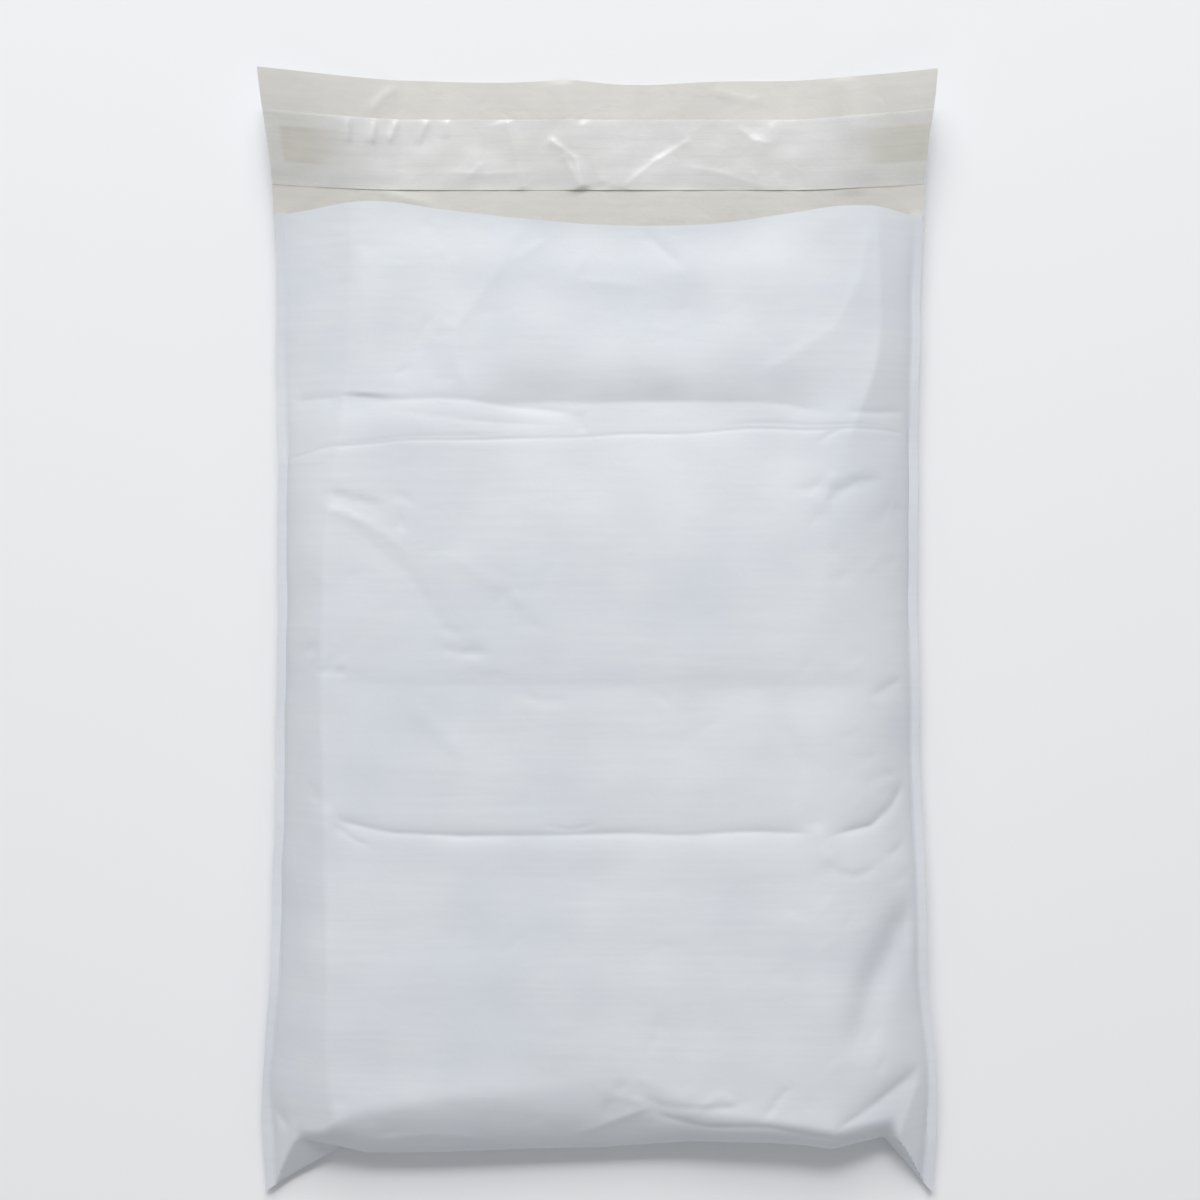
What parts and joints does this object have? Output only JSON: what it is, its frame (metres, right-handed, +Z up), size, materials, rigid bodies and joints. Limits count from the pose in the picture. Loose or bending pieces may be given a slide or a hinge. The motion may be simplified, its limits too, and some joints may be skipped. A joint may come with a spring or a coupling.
{
  "type": "poly mailer bag",
  "caption": "Filled poly mailer bag lying on its back, side welded with loose bottom corners, its mouth open and the closing flap spread with adhesive strip and release liner",
  "frame": {"origin": "under the middle of the whole bag, on the surface it lies on", "axes": "X across the bag, +Y from the bottom fold towards the open flap, +Z up out of the front panel"},
  "size_m": [0.248, 0.411, 0.0275],
  "materials": {
    "film": "satin",
    "adhesive": "tacky",
    "liner": "glossy"
  },
  "bodies": {
    "root": {"mailer_bag": "film", "adhesive_strip": "adhesive", "release_liner": "liner"}
  },
  "joints": []
}
